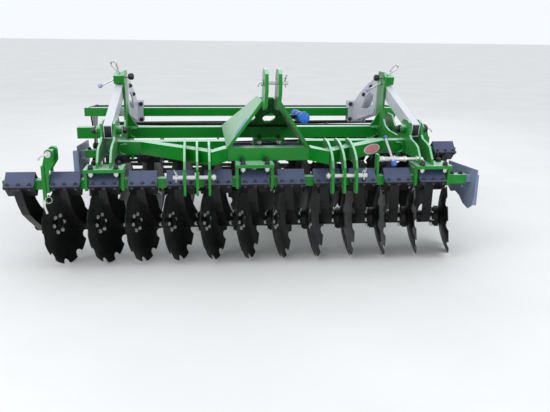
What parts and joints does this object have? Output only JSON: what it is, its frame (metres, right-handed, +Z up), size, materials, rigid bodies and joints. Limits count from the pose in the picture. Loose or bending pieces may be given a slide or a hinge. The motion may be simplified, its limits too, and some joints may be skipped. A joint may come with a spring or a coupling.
{
  "type": "disc harrow",
  "caption": "Linkage-mounted compact disc harrow: rows of notched dished discs on rubber-sprung arms, folding outer discs, side shields and a height-adjustable cage roller.",
  "frame": {"origin": "centre of the machine's plan outline on the ground plane, at the discs' lowest points", "axes": "+Z up, -Y towards the tractor, +X to the right in the picture, along the disc rows"},
  "size_m": [3.51, 2.7745, 1.372],
  "materials": {
    "green_paint": "gloss",
    "slate_paint": "satin",
    "silver_paint": "satin",
    "black_paint": "satin",
    "disc_steel": "satin",
    "zinc": "satin",
    "rubber": "matte",
    "blue_plastic": "satin"
  },
  "bodies": {
    "frame": {"front_beam_bent": "green_paint", "front_beam_straight": "green_paint", "second_beam": "green_paint", "side_plates": "green_paint", "headstock": "green_paint", "headstock_strut": "green_paint", "hitch_lugs": "green_paint", "lower_hitch_pins": "zinc", "top_link_pin": "zinc", "arm_stops": "green_paint", "stop_handles": "zinc", "front_disc_tube": "green_paint", "front_clamps": "slate_paint", "front_arms": "black_paint", "front_cords": "rubber", "rear_disc_tube": "green_paint", "rear_clamps": "slate_paint", "rear_arms": "black_paint", "rear_cords": "rubber", "front_deflector": "silver_paint", "rear_deflector": "silver_paint", "turnbuckle": "zinc", "document_tube": "blue_plastic"},
    "fold_left": {"fold_left_frame": "green_paint", "fold_left_clamp": "slate_paint", "fold_left_arm": "black_paint", "fold_left_cords": "rubber"},
    "fold_right": {"fold_right_frame": "green_paint", "fold_right_clamp": "slate_paint", "fold_right_arm": "black_paint", "fold_right_cords": "rubber"},
    "roller_frame": {"roller_arms": "silver_paint", "roller_plates": "silver_paint", "roller_beam": "green_paint", "roller_ends": "black_paint"},
    "roller": {"roller_cage": "black_paint"},
    "front_disc_01": {"front_disc_01": "disc_steel"},
    "front_disc_02": {"front_disc_02": "disc_steel"},
    "front_disc_03": {"front_disc_03": "disc_steel"},
    "front_disc_04": {"front_disc_04": "disc_steel"},
    "front_disc_05": {"front_disc_05": "disc_steel"},
    "front_disc_06": {"front_disc_06": "disc_steel"},
    "front_disc_07": {"front_disc_07": "disc_steel"},
    "front_disc_08": {"front_disc_08": "disc_steel"},
    "front_disc_09": {"front_disc_09": "disc_steel"},
    "front_disc_10": {"front_disc_10": "disc_steel"},
    "front_disc_11": {"front_disc_11": "disc_steel"},
    "front_disc_12": {"front_disc_12": "disc_steel"},
    "rear_disc_01": {"rear_disc_01": "disc_steel"},
    "rear_disc_02": {"rear_disc_02": "disc_steel"},
    "rear_disc_03": {"rear_disc_03": "disc_steel"},
    "rear_disc_04": {"rear_disc_04": "disc_steel"},
    "rear_disc_05": {"rear_disc_05": "disc_steel"},
    "rear_disc_06": {"rear_disc_06": "disc_steel"},
    "rear_disc_07": {"rear_disc_07": "disc_steel"},
    "rear_disc_08": {"rear_disc_08": "disc_steel"},
    "rear_disc_09": {"rear_disc_09": "disc_steel"},
    "rear_disc_10": {"rear_disc_10": "disc_steel"},
    "rear_disc_11": {"rear_disc_11": "disc_steel"},
    "rear_disc_12": {"rear_disc_12": "disc_steel"}
  },
  "joints": [
    {"name": "fold_left_hinge", "type": "hinge", "parent": "frame", "child": "fold_left", "pos_m": [-1.44, -1.1752, 0.824], "axis": [0, 1, 0], "range_deg": [0, 180]},
    {"name": "fold_right_hinge", "type": "hinge", "parent": "frame", "child": "fold_right", "pos_m": [1.44, -0.1352, 0.824], "axis": [0, -1, 0], "range_deg": [0, 180]},
    {"name": "roller_arm_hinge", "type": "hinge", "parent": "frame", "child": "roller_frame", "pos_m": [0, -0.8552, 0.915], "axis": [1, 0, 0], "range_deg": [-4.2, 0.5]},
    {"name": "roller_spin", "type": "hinge", "parent": "roller_frame", "child": "roller", "pos_m": [0, 1.1148, 0.425], "axis": [1, 0, 0], "continuous": true},
    {"name": "front_disc_01_spin", "type": "hinge", "parent": "fold_left", "child": "front_disc_01", "pos_m": [-1.4775, -0.9902, 0.27202], "axis": [0.9345, -0.3401, 0.1045], "continuous": true},
    {"name": "front_disc_02_spin", "type": "hinge", "parent": "frame", "child": "front_disc_02", "pos_m": [-1.1875, -0.9902, 0.27202], "axis": [0.9345, -0.3401, 0.1045], "continuous": true},
    {"name": "front_disc_03_spin", "type": "hinge", "parent": "frame", "child": "front_disc_03", "pos_m": [-0.9375, -0.9902, 0.27202], "axis": [0.9345, -0.3401, 0.1045], "continuous": true},
    {"name": "front_disc_04_spin", "type": "hinge", "parent": "frame", "child": "front_disc_04", "pos_m": [-0.6875, -0.9902, 0.27202], "axis": [0.9345, -0.3401, 0.1045], "continuous": true},
    {"name": "front_disc_05_spin", "type": "hinge", "parent": "frame", "child": "front_disc_05", "pos_m": [-0.4375, -0.9902, 0.27202], "axis": [0.9345, -0.3401, 0.1045], "continuous": true},
    {"name": "front_disc_06_spin", "type": "hinge", "parent": "frame", "child": "front_disc_06", "pos_m": [-0.1875, -0.9902, 0.27202], "axis": [0.9345, -0.3401, 0.1045], "continuous": true},
    {"name": "front_disc_07_spin", "type": "hinge", "parent": "frame", "child": "front_disc_07", "pos_m": [0.0625, -0.9902, 0.27202], "axis": [0.9345, -0.3401, 0.1045], "continuous": true},
    {"name": "front_disc_08_spin", "type": "hinge", "parent": "frame", "child": "front_disc_08", "pos_m": [0.3125, -0.9902, 0.27202], "axis": [0.9345, -0.3401, 0.1045], "continuous": true},
    {"name": "front_disc_09_spin", "type": "hinge", "parent": "frame", "child": "front_disc_09", "pos_m": [0.5625, -0.9902, 0.27202], "axis": [0.9345, -0.3401, 0.1045], "continuous": true},
    {"name": "front_disc_10_spin", "type": "hinge", "parent": "frame", "child": "front_disc_10", "pos_m": [0.8125, -0.9902, 0.27202], "axis": [0.9345, -0.3401, 0.1045], "continuous": true},
    {"name": "front_disc_11_spin", "type": "hinge", "parent": "frame", "child": "front_disc_11", "pos_m": [1.0625, -0.9902, 0.27202], "axis": [0.9345, -0.3401, 0.1045], "continuous": true},
    {"name": "front_disc_12_spin", "type": "hinge", "parent": "frame", "child": "front_disc_12", "pos_m": [1.3125, -0.9902, 0.27202], "axis": [0.9345, -0.3401, 0.1045], "continuous": true},
    {"name": "rear_disc_01_spin", "type": "hinge", "parent": "fold_right", "child": "rear_disc_01", "pos_m": [1.4775, 0.0498, 0.27202], "axis": [-0.9345, -0.3401, 0.1045], "continuous": true},
    {"name": "rear_disc_02_spin", "type": "hinge", "parent": "frame", "child": "rear_disc_02", "pos_m": [1.1875, 0.0498, 0.27202], "axis": [-0.9345, -0.3401, 0.1045], "continuous": true},
    {"name": "rear_disc_03_spin", "type": "hinge", "parent": "frame", "child": "rear_disc_03", "pos_m": [0.9375, 0.0498, 0.27202], "axis": [-0.9345, -0.3401, 0.1045], "continuous": true},
    {"name": "rear_disc_04_spin", "type": "hinge", "parent": "frame", "child": "rear_disc_04", "pos_m": [0.6875, 0.0498, 0.27202], "axis": [-0.9345, -0.3401, 0.1045], "continuous": true},
    {"name": "rear_disc_05_spin", "type": "hinge", "parent": "frame", "child": "rear_disc_05", "pos_m": [0.4375, 0.0498, 0.27202], "axis": [-0.9345, -0.3401, 0.1045], "continuous": true},
    {"name": "rear_disc_06_spin", "type": "hinge", "parent": "frame", "child": "rear_disc_06", "pos_m": [0.1875, 0.0498, 0.27202], "axis": [-0.9345, -0.3401, 0.1045], "continuous": true},
    {"name": "rear_disc_07_spin", "type": "hinge", "parent": "frame", "child": "rear_disc_07", "pos_m": [-0.0625, 0.0498, 0.27202], "axis": [-0.9345, -0.3401, 0.1045], "continuous": true},
    {"name": "rear_disc_08_spin", "type": "hinge", "parent": "frame", "child": "rear_disc_08", "pos_m": [-0.3125, 0.0498, 0.27202], "axis": [-0.9345, -0.3401, 0.1045], "continuous": true},
    {"name": "rear_disc_09_spin", "type": "hinge", "parent": "frame", "child": "rear_disc_09", "pos_m": [-0.5625, 0.0498, 0.27202], "axis": [-0.9345, -0.3401, 0.1045], "continuous": true},
    {"name": "rear_disc_10_spin", "type": "hinge", "parent": "frame", "child": "rear_disc_10", "pos_m": [-0.8125, 0.0498, 0.27202], "axis": [-0.9345, -0.3401, 0.1045], "continuous": true},
    {"name": "rear_disc_11_spin", "type": "hinge", "parent": "frame", "child": "rear_disc_11", "pos_m": [-1.0625, 0.0498, 0.27202], "axis": [-0.9345, -0.3401, 0.1045], "continuous": true},
    {"name": "rear_disc_12_spin", "type": "hinge", "parent": "frame", "child": "rear_disc_12", "pos_m": [-1.3125, 0.0498, 0.27202], "axis": [-0.9345, -0.3401, 0.1045], "continuous": true}
  ]
}
